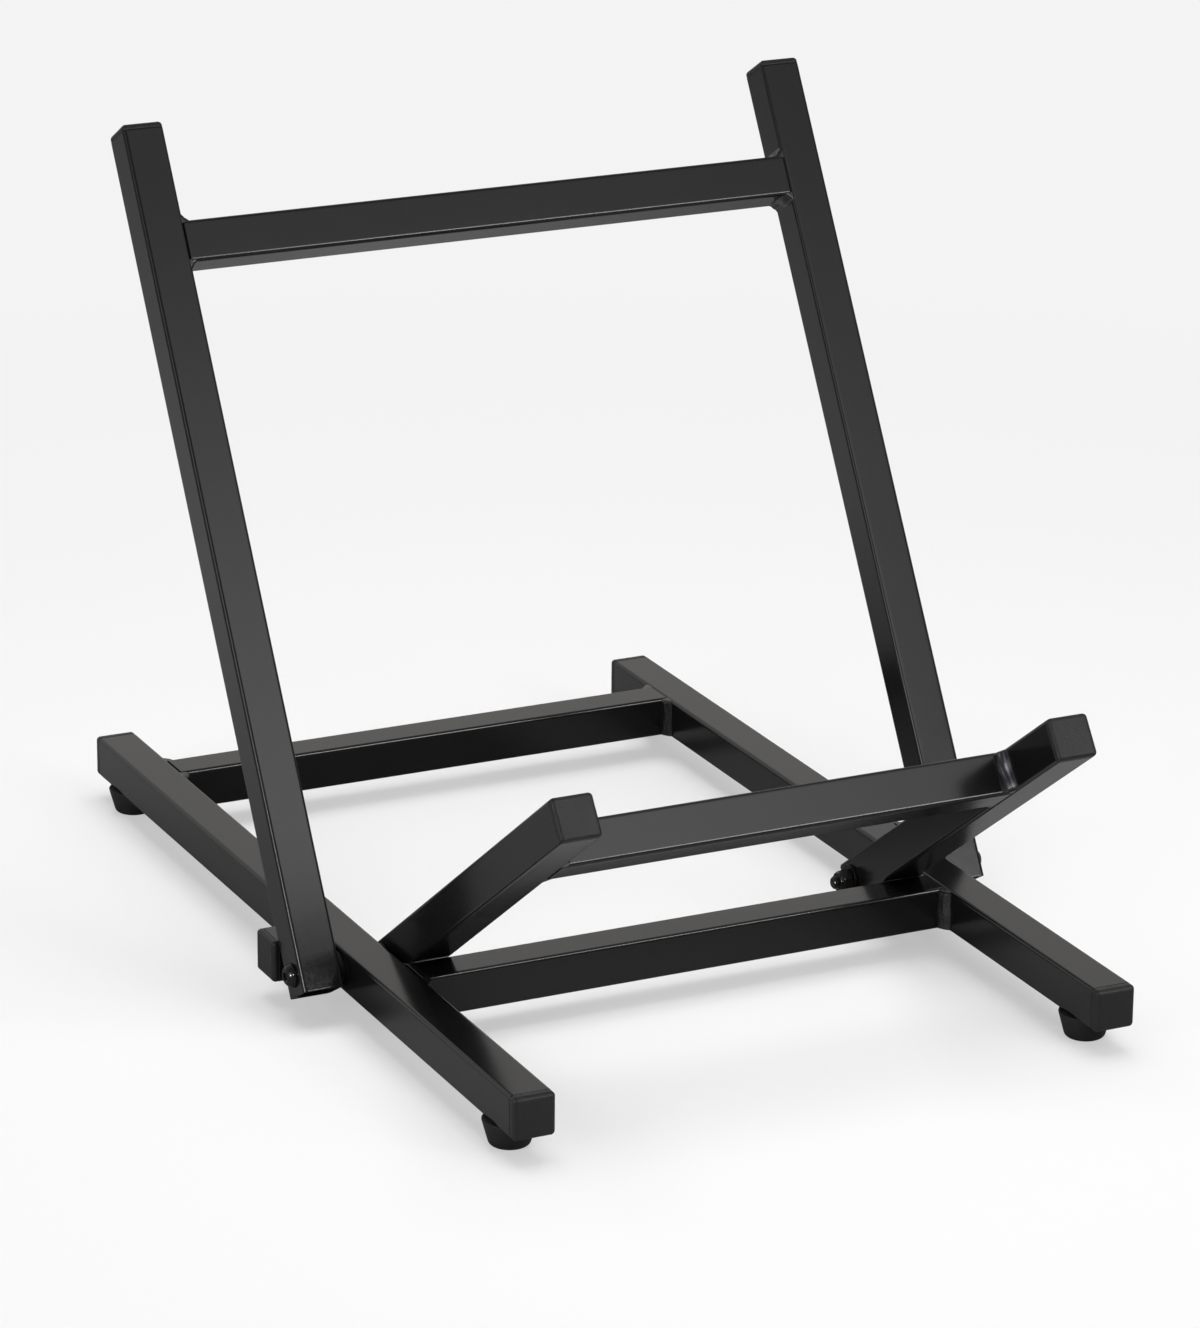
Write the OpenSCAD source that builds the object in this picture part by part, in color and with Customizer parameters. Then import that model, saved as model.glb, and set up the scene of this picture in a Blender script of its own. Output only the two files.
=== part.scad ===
// Folding stand for a combo amplifier, made of square steel tube.
// Three welded frames share one pivot line: the base, the leaning backrest outside
// the base rails, and the tilted shelf inside them. X is to the right, Y to the rear,
// Z up. The origin is on the floor, in the middle of the base.

/* [Square tube] */
// Side of the square tube
tube = 25.4; // [20:0.1:30]
// Wall of the tube
wall = 1.5; // [1:0.1:2.5]
// Outer corner radius of the tube
corner_r = 2.3; // [1.5:0.1:3.5]

/* [Base frame] */
// Width over the side rails
base_w = 390; // [320:1:480]
// Length over the end plugs of the side rails
base_l = 634; // [560:1:720]
// Front end of the base to the pivot line
pivot_inset = 241; // [215:1:270]
// Rear end of the base to the middle of the rear crossbar
rear_bar_inset = 72.5; // [60:0.5:90]

/* [Backrest frame] */
// Lean of the backrest from upright, in degrees
lean = 30.5; // [20:0.5:38]
// Pivot to the top of an upright, with its plug
upright_reach = 511; // [460:1:560]
// Pivot to the lower end of an upright
upright_tail = 12.4; // [11:0.1:14]
// Top of an upright to the middle of the backrest crossbar
back_bar_inset = 74.5; // [66:0.5:120]

/* [Shelf frame] */
// Rise of the shelf arms from level, in degrees
shelf_rise = 35.8; // [30:0.1:42]
// Pivot to the front end of an arm, with its plug
arm_reach = 284; // [250:1:290]
// Pivot to the rear end of an arm
arm_tail = 9.7; // [9:0.1:12]
// Front end of an arm to the middle of the shelf crossbar
shelf_bar_inset = 75; // [66:1:100]

/* [Stops] */
// Reach of a stop stub from its rail, with its plug
stub_reach = 32; // [31:0.1:40]
// Gap left between a frame at rest and its stop
rest_gap = 0.3; // [0.2:0.05:0.6]

/* [Welds] */
// Leg of the base's and the shelf's welds along their crossbars
bead_leg = 5; // [3:0.1:6]
// Leg of these welds along the rails and the arms
bead_reach = 7.5; // [4:0.1:9]
// Leg of the welds of the backrest crossbar
back_bead_leg = 5; // [3:0.1:7]
// Leg of the small welds beside the arms
inner_bead_leg = 3; // [2:0.1:3]
// Bulge of a weld's face, as a share of its width
bead_bulge = 0.14; // [0.08:0.01:0.2]
// Gap from a weld's end to the sides of its tubes
bead_short = 0.4; // [0.2:0.1:2]
// Radius of a weld's ends
bead_end_r = 1.6; // [0.5:0.1:2]
// Width of the low seams under the base crossbars' ends
seam_w = 9; // [6:0.5:12]
// Height of these seams
seam_h = 1.2; // [0.6:0.1:2]

/* [End plugs] */
// Head thickness of the rail plugs
rail_head_t = 6; // [4:0.1:8]
// Head thickness of the plugs in the uprights, arms and stubs
frame_head_t = 3.8; // [3.5:0.1:6]
// Radius of the plug heads' edges
head_edge_r = 2.5; // [1:0.1:3]
// Depth of a plug in its tube
plug_depth = 15; // [14:0.5:20]
// Wall of the plug's hollow stem
plug_wall = 1.8; // [1.2:0.1:2.5]
// Thickness of a rib
rib_t = 1.2; // [0.8:0.1:1.6]
// Reach of a rib from the stem
rib_reach = 1.1; // [0.6:0.1:1.6]
// Ribs round each plug
rib_count = 4; // [2:1:4]
// Gap left between a rib and the tube's wall
plug_fit = 0.1; // [0.05:0.05:0.3]

/* [Pivot hardware] */
// Bolt diameter
bolt_d = 8; // [6:1:8]
// Thread that shows past the lock nut
thread_past = 3; // [1.2:0.1:6]
// Radial gap between the bolt and the bores on it
bore_fit = 0.05; // [0.02:0.01:0.1]
// Gap along the bolt beside each part that turns
side_play = 0.2; // [0.1:0.05:0.4]
// Diameter of the bolt's button head
head_d = 14.4; // [13:0.1:18]
// Height of the head
head_h = 4.6; // [4:0.1:5.5]
// Diameter of the flat face round the head's socket
face_d = 8.4; // [8:0.1:10]
// Height of the head's straight rim
rim_h = 0.6; // [0.3:0.1:1]
// Hexagon socket of the bolt, across flats
socket_af = 5; // [4:0.5:6]
// Depth of the hexagon socket
socket_depth = 2.4; // [1.5:0.1:2.8]
// Lock nut, across flats
nut_af = 13; // [12.5:0.5:14]
// Height of the lock nut
nut_h = 8; // [6.5:0.1:9]
// Washer diameter
washer_d = 19; // [14:0.5:20]
// Washer thickness
washer_t = 1.6; // [1:0.1:2]
// Diameter of the nylon spacers between the tubes
spacer_d = 20; // [16:0.5:22]
// Thickness of the nylon spacers
spacer_t = 3.2; // [3:0.1:4]

/* [Feet] */
// Height of a foot
foot_h = 15.6; // [12:0.1:20]
// Diameter of a foot at the rail
foot_top_d = 31.6; // [28:0.1:36]
// Diameter of a foot at the floor, before its edge is rounded
foot_bottom_d = 23; // [22:0.1:28]
// Radius of the foot's lower edge
foot_edge_r = 3; // [1:0.1:3.5]
// Radius of the foot's upper edge
foot_lip_r = 0.8; // [0.4:0.1:1.2]
// End of a rail to the middle of its foot
foot_inset = 33; // [30:1:50]
// Diameter of the recess for the screw head
recess_d = 11; // [10.5:0.1:12]
// Depth of the recess
recess_h = 6; // [5:0.1:8]
// Diameter of the steel washer moulded in the foot
disc_d = 15; // [13:0.1:16]
// Thickness of the steel washer
disc_t = 1.2; // [1:0.1:1.6]
// Shank diameter of a foot screw
screw_d = 4.8; // [4:0.1:5]
// Length of a foot screw under its head
screw_len = 16; // [14:0.5:19]
// Head diameter of a foot screw
screw_head_d = 9.4; // [8:0.1:10]
// Head height of a foot screw
screw_head_h = 3; // [2:0.1:3.5]
// Length of a foot screw's point
screw_point = 3; // [2:0.1:4]

/* [Hidden] */
$fn = 64;
eps = 0.01;
through = 4 * tube;                 // long enough to cut right through a tube
inner_side = tube - 2 * wall;
inner_r = max(corner_r - wall, 0.4);
arc_c = tube / 2 - corner_r;        // corner arc's centre from the tube's axis

rail_x = (base_w - tube) / 2;
rail_z = foot_h + tube / 2;
rail_tube_l = base_l - 2 * rail_head_t;
pivot_y = pivot_inset - base_l / 2;
rear_bar_y = base_l / 2 - rear_bar_inset;
cross_len = base_w - 2 * tube;

pivot_gap = spacer_t + side_play;   // between neighbouring tubes on a bolt
upright_x = rail_x + tube + pivot_gap;
arm_x = rail_x - tube - pivot_gap;
back_bar_at = upright_reach - back_bar_inset;
shelf_bar_at = arm_reach - shelf_bar_inset;
back_bar_len = 2 * upright_x - tube;
shelf_bar_len = 2 * arm_x - tube;

// The arms rest on the front crossbar's rear top edge. The distance from the arm's
// axis to that edge's arc centre sets where the crossbar stands in front of the pivot.
stop_span = tube / 2 + corner_r + rest_gap;
front_bar_y = pivot_y - arc_c - (stop_span + arc_c * cos(shelf_rise)) / sin(shelf_rise);
// The uprights lean on the stubs' front top edges in the same way.
stub_front = pivot_y - corner_r + (stop_span + arc_c * sin(lean)) / cos(lean);
stub_y = stub_front + tube / 2;
stub_tube_l = stub_reach - frame_head_t;
bead_len = tube - 2 * bead_short;
seam_len = tube - 2 * corner_r;     // a seam runs along the flat of a tube's side
seam_r = (pow(seam_w / 2, 2) + pow(seam_h, 2)) / (2 * seam_h);

bore_r = bolt_d / 2 + bore_fit;
head_seat_x = upright_x + tube / 2 + side_play;   // where the bolt's head bears
nut_seat_x = arm_x - tube / 2 - side_play;        // where the nut's washer bears
bolt_len = head_seat_x - nut_seat_x + washer_t + nut_h + thread_past;
bolt_tip = 1;                                     // chamfer at the bolt's end
// The head's dome is part of a ball through its rim and the edge of its face.
dome_z = (pow(face_d / 2, 2) + pow(head_h, 2) - pow(head_d / 2, 2) - pow(rim_h, 2))
  / (2 * (head_h - rim_h));
dome_r = norm([head_d / 2, rim_h - dome_z]);
nut_chamfer = 1;
ring_h = 2;                                       // nylon ring in the lock nut
ring_wall = 1.3;
crown_r = bore_r + ring_wall + 0.7;               // the crown's own wall is 0.7
crown_edge = 0.6;
washer_edge = 0.3;

rib_side = inner_side - 2 * plug_fit;
stem_side = rib_side - 2 * rib_reach;
rib_r = 0.8;
rib_pitch = (plug_depth - rib_t) / rib_count;

screw_hole_r = screw_d / 2 + bore_fit;
foot_ys = [-base_l / 2 + foot_inset, base_l / 2 - foot_inset];
disc_z = recess_h;

coat = "#26272a";
plastic = "#2e2f31";
rubber = "#17181a";
black_steel = "#3a3b3e";
bright_steel = "#9a9da1";
nylon = "#5a5b5e";

// ---- outlines and bars ----

// Square with round corners, drawn as two strips and four discs
module round_square(side, r) {
  square([side, side - 2 * r], center = true);
  square([side - 2 * r, side], center = true);
  for (x = [-1, 1], y = [-1, 1])
    translate([x * (side / 2 - r), y * (side / 2 - r)]) circle(r);
}

// Square tube along +Z from z = from to z = to
module square_tube(from, to) {
  translate([0, 0, from])
    linear_extrude(to - from)
      difference() {
        round_square(tube, corner_r);
        round_square(inner_side, inner_r);
      }
}

// Cylinder along X, right through a tube
module cross_bore(r) {
  rotate([0, 90, 0]) cylinder(r = r, h = through, center = true);
}

module at_left_and_right() {
  children();
  mirror([1, 0, 0]) children();
}

// Frames of the parts that turn: +Z runs along the tube, away from the pivot
module along_upright(side) {
  translate([side * upright_x, pivot_y, rail_z]) rotate([-lean, 0, 0]) children();
}

module along_arm(side) {
  translate([side * arm_x, pivot_y, rail_z]) rotate([90 - shelf_rise, 0, 0]) children();
}

// ---- end plugs ----

// Head with a flat face and round edges, on z = 0
module plug_head(t) {
  flat = tube - 2 * head_edge_r;
  step = t - head_edge_r;
  linear_extrude(step) round_square(tube, head_edge_r);
  linear_extrude(t) square(flat, center = true);
  intersection() {
    linear_extrude(t) square(tube, center = true);
    translate([0, 0, step])
      for (turn = [0:90:270]) rotate([0, 0, turn]) {
        translate([-flat / 2, flat / 2, 0])
          rotate([0, 90, 0]) cylinder(r = head_edge_r, h = flat);
        translate([flat / 2, flat / 2, 0]) sphere(head_edge_r);
      }
  }
}

// Hollow stem with ribs that grip the tube, below z = 0
module plug_stem() {
  difference() {
    union() {
      translate([0, 0, -plug_depth]) linear_extrude(plug_depth) round_square(stem_side, rib_r);
      for (i = [0:rib_count - 1])
        translate([0, 0, -rib_t - i * rib_pitch]) linear_extrude(rib_t) round_square(rib_side, rib_r);
    }
    translate([0, 0, -plug_depth - eps])
      linear_extrude(plug_depth + eps) square(stem_side - 2 * plug_wall, center = true);
  }
}

module end_plug(head_t) {
  color(plastic) {
    plug_head(head_t);
    plug_stem();
  }
}

// ---- welds ----

// Bar without its hollow, along Z and centred
module full_bar() {
  linear_extrude(through, center = true) round_square(tube, corner_r);
}

// Weld in the corner between two tubes: one along X below y = 0, one along Y below x = 0.
// Its face is part of a cylinder from (a, 0) to (0, b). It follows the tubes' corners.
module bead(a, b) {
  width = norm([a, b]);
  rise = bead_bulge * width;
  face_r = (pow(width / 2, 2) + pow(rise, 2)) / (2 * rise);
  back = (face_r - rise) / width;
  deep = rise + a * b / width + corner_r;    // from the face's top to behind the corner
  difference() {
    intersection() {
      translate([-corner_r, -corner_r, -bead_len / 2])
        cube([a + corner_r, b + corner_r, bead_len]);
      translate([a / 2 - back * b, b / 2 - back * a, 0])
        cylinder(r = face_r, h = bead_len, center = true);
      translate([a / 2, b / 2, 0])
        rotate([0, 0, atan2(a, b)])
          translate([rise, 0, 0])
            rotate([90, 0, 0])
              linear_extrude(3 * width, center = true) {
                translate([-deep, -bead_len / 2]) square([deep - bead_end_r, bead_len]);
                translate([-deep, bead_end_r - bead_len / 2])
                  square([deep, bead_len - 2 * bead_end_r]);
                for (end = [-1, 1])
                  translate([-bead_end_r, end * (bead_len / 2 - bead_end_r)]) circle(bead_end_r);
              }
    }
    translate([0, -tube / 2, 0]) rotate([0, 90, 0]) full_bar();
    translate([-tube / 2, 0, 0]) rotate([90, 0, 0]) full_bar();
  }
}

// Bead in the corner between a rail's inner face and a crossbar's face.
// toward is 1 on the crossbar's rear face and -1 on its front face.
module rail_bead(side, bar_y, toward, a, b) {
  translate([side * cross_len / 2, bar_y + toward * tube / 2, rail_z])
    mirror([side > 0 ? 1 : 0, 0, 0]) mirror([0, toward < 0 ? 1 : 0, 0]) bead(a, b);
}

// Low seam below z = 0, along Y, with round ends
module seam() {
  intersection() {
    translate([0, 0, seam_r - seam_h]) rotate([90, 0, 0]) cylinder(r = seam_r, h = seam_len, center = true);
    translate([0, 0, -seam_h])
      linear_extrude(seam_h) {
        square([seam_w, seam_len - seam_w], center = true);
        for (end = [-1, 1]) translate([0, end * (seam_len - seam_w) / 2]) circle(d = seam_w);
      }
  }
}

// ---- base frame ----

module rail(side) {
  color(coat)
    translate([side * rail_x, 0, rail_z])
      difference() {
        rotate([-90, 0, 0]) square_tube(-rail_tube_l / 2, rail_tube_l / 2);
        translate([0, pivot_y, 0]) cross_bore(bore_r);
        for (y = foot_ys)
          translate([0, y, -tube / 2 - eps]) cylinder(r = screw_hole_r, h = wall + 2 * eps);
      }
}

module crossbar(y) {
  color(coat)
    translate([0, y, rail_z]) rotate([0, 90, 0]) square_tube(-cross_len / 2, cross_len / 2);
}

module left_rail() { rail(-1); }
module right_rail() { rail(1); }
module front_crossbar() { crossbar(front_bar_y); }
module rear_crossbar() { crossbar(rear_bar_y); }

module base_welds() {
  color(coat)
    for (side = [-1, 1]) {
      rail_bead(side, front_bar_y, -1, bead_leg, bead_reach);
      rail_bead(side, front_bar_y, 1, inner_bead_leg, inner_bead_leg);
      rail_bead(side, rear_bar_y, -1, bead_leg, bead_reach);
      rail_bead(side, rear_bar_y, 1, bead_leg, bead_reach);
      for (y = [front_bar_y, rear_bar_y]) translate([side * cross_len / 2, y, foot_h]) seam();
      translate([side * base_w / 2, stub_y + tube / 2, rail_z])
        mirror([side < 0 ? 1 : 0, 0, 0]) bead(bead_leg, bead_reach);
    }
}

// Stub on the rail's outer face, behind the upright
module along_stub(side) {
  translate([side * base_w / 2, stub_y, rail_z]) rotate([0, side * 90, 0]) children();
}

module stop_stub(side) { color(coat) along_stub(side) square_tube(0, stub_tube_l); }
module stop_plug(side) { along_stub(side) translate([0, 0, stub_tube_l]) end_plug(frame_head_t); }
module left_stop_stub() { stop_stub(-1); }
module right_stop_stub() { stop_stub(1); }
module left_stop_plug() { stop_plug(-1); }
module right_stop_plug() { stop_plug(1); }

// end is -1 at the front and 1 at the rear
module rail_plug(side, end) {
  translate([side * rail_x, end * rail_tube_l / 2, rail_z]) rotate([-end * 90, 0, 0]) end_plug(rail_head_t);
}

module front_left_rail_plug() { rail_plug(-1, -1); }
module front_right_rail_plug() { rail_plug(1, -1); }
module rear_left_rail_plug() { rail_plug(-1, 1); }
module rear_right_rail_plug() { rail_plug(1, 1); }

// ---- feet ----

// Half outline of a foot: a taper with both edges rounded by true arcs
module foot_outline() {
  top_r = foot_top_d / 2;
  bottom_r = foot_bottom_d / 2;
  slope = atan((top_r - bottom_r) / foot_h);
  low = foot_edge_r / tan((90 + slope) / 2);
  high = foot_lip_r / tan((90 - slope) / 2);
  polygon([
    [0, 0],
    [bottom_r - low, 0],
    [bottom_r + low * sin(slope), low * cos(slope)],
    [top_r - high * sin(slope), foot_h - high * cos(slope)],
    [top_r - high, foot_h],
    [0, foot_h]
  ]);
  translate([bottom_r - low, foot_edge_r]) circle(foot_edge_r);
  translate([top_r - high, foot_h - foot_lip_r]) circle(foot_lip_r);
}

module foot(side, end) {
  color(rubber)
    translate([side * rail_x, foot_ys[end], 0])
      difference() {
        rotate_extrude() foot_outline();
        translate([0, 0, -eps]) cylinder(d = recess_d, h = recess_h + 2 * eps);
        translate([0, 0, disc_z]) cylinder(d = disc_d, h = disc_t);
        cylinder(r = screw_hole_r, h = foot_h + eps);
      }
}

module front_left_foot() { foot(-1, 0); }
module front_right_foot() { foot(1, 0); }
module rear_left_foot() { foot(-1, 1); }
module rear_right_foot() { foot(1, 1); }

module at_feet() {
  for (side = [-1, 1], y = foot_ys) translate([side * rail_x, y, 0]) children();
}

module foot_discs() {
  color(bright_steel)
    at_feet()
      translate([0, 0, disc_z])
        difference() {
          cylinder(d = disc_d, h = disc_t);
          translate([0, 0, -eps]) cylinder(r = screw_hole_r, h = disc_t + 2 * eps);
        }
}

// Pan-head screw, head down, with a cross recess
module foot_screws() {
  slot = screw_d / 5;
  color(bright_steel)
    at_feet()
      translate([0, 0, disc_z]) {
        difference() {
          translate([0, 0, -screw_head_h])
            cylinder(d1 = screw_head_d * 0.8, d2 = screw_head_d, h = screw_head_h);
          for (turn = [0, 90])
            rotate([0, 0, turn])
              translate([0, 0, -screw_head_h])
                cube([screw_d, slot, screw_head_h], center = true);
        }
        cylinder(d = screw_d, h = screw_len - screw_point);
        translate([0, 0, screw_len - screw_point]) cylinder(d1 = screw_d, d2 = slot, h = screw_point);
      }
}

// ---- pivot hardware ----

// Ring on z = 0 with lightly broken outer edges
module ring(outer_d, t, edge) {
  r = outer_d / 2;
  rotate_extrude()
    polygon([[bore_r, 0], [r - edge, 0], [r, edge], [r, t - edge], [r - edge, t], [bore_r, t]]);
}

// Button-head bolt along +Z, its head bearing on z = 0
module pivot_bolt() {
  color(black_steel) {
    cylinder(d = bolt_d, h = bolt_len - bolt_tip);
    translate([0, 0, bolt_len - bolt_tip])
      cylinder(d1 = bolt_d, d2 = bolt_d - 2 * bolt_tip, h = bolt_tip);
    difference() {
      intersection() {
        translate([0, 0, -dome_z]) sphere(dome_r);
        translate([0, 0, -head_h]) cylinder(d = head_d, h = head_h);
      }
      translate([0, 0, -head_h - eps])
        linear_extrude(socket_depth) circle(d = socket_af / cos(30), $fn = 6);
    }
  }
}

// Hexagon with chamfered corners and a round crown over the nylon ring
module lock_nut() {
  corner = nut_af / cos(30) / 2;
  color(black_steel)
    difference() {
      union() {
        intersection() {
          linear_extrude(nut_h - ring_h) circle(corner, $fn = 6);
          rotate_extrude()
            polygon([
              [0, 0], [nut_af / 2, 0], [corner, nut_chamfer / 2],
              [corner, nut_h - ring_h - nut_chamfer], [nut_af / 2 - eps, nut_h - ring_h], [0, nut_h - ring_h]
            ]);
        }
        cylinder(r = crown_r, h = nut_h - crown_edge);
        translate([0, 0, nut_h - crown_edge])
          cylinder(r1 = crown_r, r2 = crown_r - crown_edge, h = crown_edge);
      }
      translate([0, 0, -eps]) cylinder(r = bore_r, h = nut_h + 2 * eps);
      translate([0, 0, nut_h - ring_h - nut_chamfer / 2]) cylinder(r = bore_r + ring_wall, h = ring_h);
    }
}

module nut_ring() {
  color(nylon)
    translate([0, 0, nut_h - ring_h - nut_chamfer / 2])
      difference() {
        cylinder(r = bore_r + ring_wall, h = ring_h);
        translate([0, 0, -eps]) cylinder(r = bore_r, h = ring_h + 2 * eps);
      }
}

// Places a child's +Z along the left bolt, inwards from x
module on_left_bolt(x) {
  translate([-x, pivot_y, rail_z]) rotate([0, 90, 0]) children();
}

module left_pivot_bolt() { on_left_bolt(head_seat_x) pivot_bolt(); }
module right_pivot_bolt() { mirror([1, 0, 0]) left_pivot_bolt(); }
module left_lock_nut() { on_left_bolt(nut_seat_x - washer_t) lock_nut(); }
module right_lock_nut() { mirror([1, 0, 0]) left_lock_nut(); }
module lock_nut_rings() { at_left_and_right() on_left_bolt(nut_seat_x - washer_t) nut_ring(); }

module nut_washers() {
  color(black_steel)
    at_left_and_right() on_left_bolt(nut_seat_x) ring(washer_d, washer_t, washer_edge);
}

module outer_spacers() {
  color(nylon)
    at_left_and_right() on_left_bolt(base_w / 2 + spacer_t) ring(spacer_d, spacer_t, washer_edge);
}

module inner_spacers() {
  color(nylon)
    at_left_and_right() on_left_bolt(cross_len / 2) ring(spacer_d, spacer_t, washer_edge);
}

// ---- backrest frame ----

module upright(side) {
  color(coat)
    along_upright(side)
      difference() {
        square_tube(-upright_tail, upright_reach - frame_head_t);
        cross_bore(bore_r);
      }
}

module upright_plug(side) {
  along_upright(side) translate([0, 0, upright_reach - frame_head_t]) end_plug(frame_head_t);
}

module left_upright() { upright(-1); }
module right_upright() { upright(1); }
module left_upright_plug() { upright_plug(-1); }
module right_upright_plug() { upright_plug(1); }

module backrest_crossbar() {
  color(coat)
    along_upright(0)
      translate([0, 0, back_bar_at])
        rotate([0, 90, 0]) square_tube(-back_bar_len / 2, back_bar_len / 2);
}

// Beads above and below the crossbar, run from front to rear
module backrest_welds() {
  color(coat)
    along_upright(0)
      translate([0, 0, back_bar_at])
        for (side = [-1, 1], up = [-1, 1])
          translate([side * back_bar_len / 2, 0, up * tube / 2])
            mirror([side > 0 ? 1 : 0, 0, 0]) mirror([0, 0, up < 0 ? 1 : 0])
              rotate([90, 0, 0]) bead(back_bead_leg, back_bead_leg);
}

// ---- shelf frame ----

module arm(side) {
  color(coat)
    along_arm(side)
      difference() {
        square_tube(-arm_tail, arm_reach - frame_head_t);
        cross_bore(bore_r);
      }
}

module arm_plug(side) {
  along_arm(side) translate([0, 0, arm_reach - frame_head_t]) end_plug(frame_head_t);
}

module left_arm() { arm(-1); }
module right_arm() { arm(1); }
module left_arm_plug() { arm_plug(-1); }
module right_arm_plug() { arm_plug(1); }

module shelf_crossbar() {
  color(coat)
    along_arm(0)
      translate([0, 0, shelf_bar_at])
        rotate([0, 90, 0]) square_tube(-shelf_bar_len / 2, shelf_bar_len / 2);
}

// Beads before and behind the crossbar
module shelf_welds() {
  color(coat)
    along_arm(0)
      translate([0, 0, shelf_bar_at])
        for (side = [-1, 1], fore = [-1, 1])
          translate([side * shelf_bar_len / 2, 0, fore * tube / 2])
            mirror([side > 0 ? 1 : 0, 0, 0]) mirror([0, 0, fore < 0 ? 1 : 0])
              rotate([90, 0, 0]) bead(bead_leg, bead_reach);
}

left_rail();
right_rail();
front_crossbar();
rear_crossbar();
base_welds();
left_stop_stub();
right_stop_stub();
left_stop_plug();
right_stop_plug();
front_left_rail_plug();
front_right_rail_plug();
rear_left_rail_plug();
rear_right_rail_plug();
front_left_foot();
front_right_foot();
rear_left_foot();
rear_right_foot();
foot_discs();
foot_screws();
left_pivot_bolt();
right_pivot_bolt();
left_lock_nut();
right_lock_nut();
lock_nut_rings();
nut_washers();
outer_spacers();
inner_spacers();
left_upright();
right_upright();
backrest_crossbar();
backrest_welds();
left_upright_plug();
right_upright_plug();
left_arm();
right_arm();
shelf_crossbar();
shelf_welds();
left_arm_plug();
right_arm_plug();
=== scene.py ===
"""Folding stand of square steel tube: the dressed model over its CAD frame.

Laid out as a Blender add-on and run as a script. Every piece is a surface worked
out with numpy in metres, in the frame's own coordinates: X to the right, Y to the
rear, Z up, with the floor at Z = 0.
"""
import math
from collections import namedtuple

import bmesh
import bpy
import numpy as np
from mathutils import Euler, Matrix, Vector


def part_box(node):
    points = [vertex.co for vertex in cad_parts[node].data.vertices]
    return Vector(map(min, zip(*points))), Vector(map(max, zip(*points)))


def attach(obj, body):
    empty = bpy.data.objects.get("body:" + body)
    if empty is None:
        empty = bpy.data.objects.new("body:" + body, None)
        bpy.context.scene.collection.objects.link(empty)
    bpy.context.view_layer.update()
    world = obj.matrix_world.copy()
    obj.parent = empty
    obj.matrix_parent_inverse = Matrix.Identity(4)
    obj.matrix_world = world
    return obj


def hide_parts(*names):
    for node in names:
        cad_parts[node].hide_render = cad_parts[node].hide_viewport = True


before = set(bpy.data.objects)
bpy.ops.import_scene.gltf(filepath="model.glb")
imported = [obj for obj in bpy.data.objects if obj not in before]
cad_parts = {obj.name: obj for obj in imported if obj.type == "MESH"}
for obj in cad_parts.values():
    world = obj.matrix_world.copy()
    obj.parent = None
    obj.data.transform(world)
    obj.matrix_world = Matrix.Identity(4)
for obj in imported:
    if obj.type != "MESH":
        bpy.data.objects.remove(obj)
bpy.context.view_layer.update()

bl_info = {
    "name": "Folding Tube Stand",
    "version": (1, 0, 0),
    "blender": (4, 5, 0),
    "location": "View3D > Sidebar > Tube Stand",
    "description": "Makes the tubes, plugs, feet, pivots and welds of a folding stand",
    "category": "Add Mesh",
}


def corners(node):
    """Lowest and highest corner of a CAD node, as arrays."""
    low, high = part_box(node)
    return np.array(low), np.array(high)


def middle(node):
    """Middle of a CAD node's box."""
    low, high = corners(node)
    return (low + high) / 2


# Places that come from the frame
PIVOT = middle("left_pivot_bolt")  # its Y and Z are the pivot line's
RAIL_Z = float(middle("right_rail")[2])
SIDE = float(np.ptp(corners("front_crossbar"), axis=0)[2])
RAILS = ("left_rail", "right_rail")
BASE_BARS = ("front_crossbar", "rear_crossbar")
STUBS = (("left_stop_stub", -1), ("right_stop_stub", 1))  # with the way each points along X


# ---- sizes and colours ----

def length(name, default, description, low=0.0):
    return bpy.props.FloatProperty(name=name, description=description, default=default, min=low,
                                   subtype="DISTANCE", unit="LENGTH", precision=4)


def turn(name, degrees, description):
    return bpy.props.FloatProperty(name=name, description=description, default=math.radians(degrees),
                                   subtype="ANGLE", unit="ROTATION")


def colour(name, default, description):
    return bpy.props.FloatVectorProperty(name=name, description=description, default=default, size=3,
                                         min=0.0, max=1.0, subtype="COLOR")


def ratio(name, default, description):
    return bpy.props.FloatProperty(name=name, description=description, default=default, min=-0.3, max=0.3)


def pointer(kind, name, description):
    return bpy.props.PointerProperty(type=kind, name=name, description=description)


class STAND_PG_tube(bpy.types.PropertyGroup):
    """Square tube and the frames made of it."""
    side: length("Side", SIDE, "Outer side of the square tube")
    wall: length("Wall", 0.0015, "Wall of the tube")
    corner: length("Corner", 0.0023, "Outer radius of the tube's corners")
    cut_edge: length("Cut edge", 0.0004, "Rounding of a cut end's edges")
    lean: turn("Lean", 30.5, "Lean of the backrest from upright")
    rise: turn("Rise", 35.8, "Rise of the shelf arms from level")
    tail_up: length("Upright tail", 0.0124, "Pivot to the lower end of an upright")
    tail_arm: length("Arm tail", 0.0097, "Pivot to the rear end of an arm")
    back_bar_at: length("Backrest bar", 0.4365, "Pivot to the middle of the backrest crossbar")
    shelf_bar_at: length("Shelf bar", 0.209, "Pivot to the middle of the shelf crossbar")
    upright_tube: length("Upright tube", 0.5072, "Pivot to the top end of an upright's tube")
    arm_tube: length("Arm tube", 0.2802, "Pivot to the front end of an arm's tube")
    bore: length("Bore", 0.00405, "Radius of the bolt bores")
    screw_bore: length("Screw bore", 0.00245, "Radius of the foot screws' bores")
    foot_at: length("Foot place", 0.284, "Middle of the base to the middle of a foot")


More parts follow.
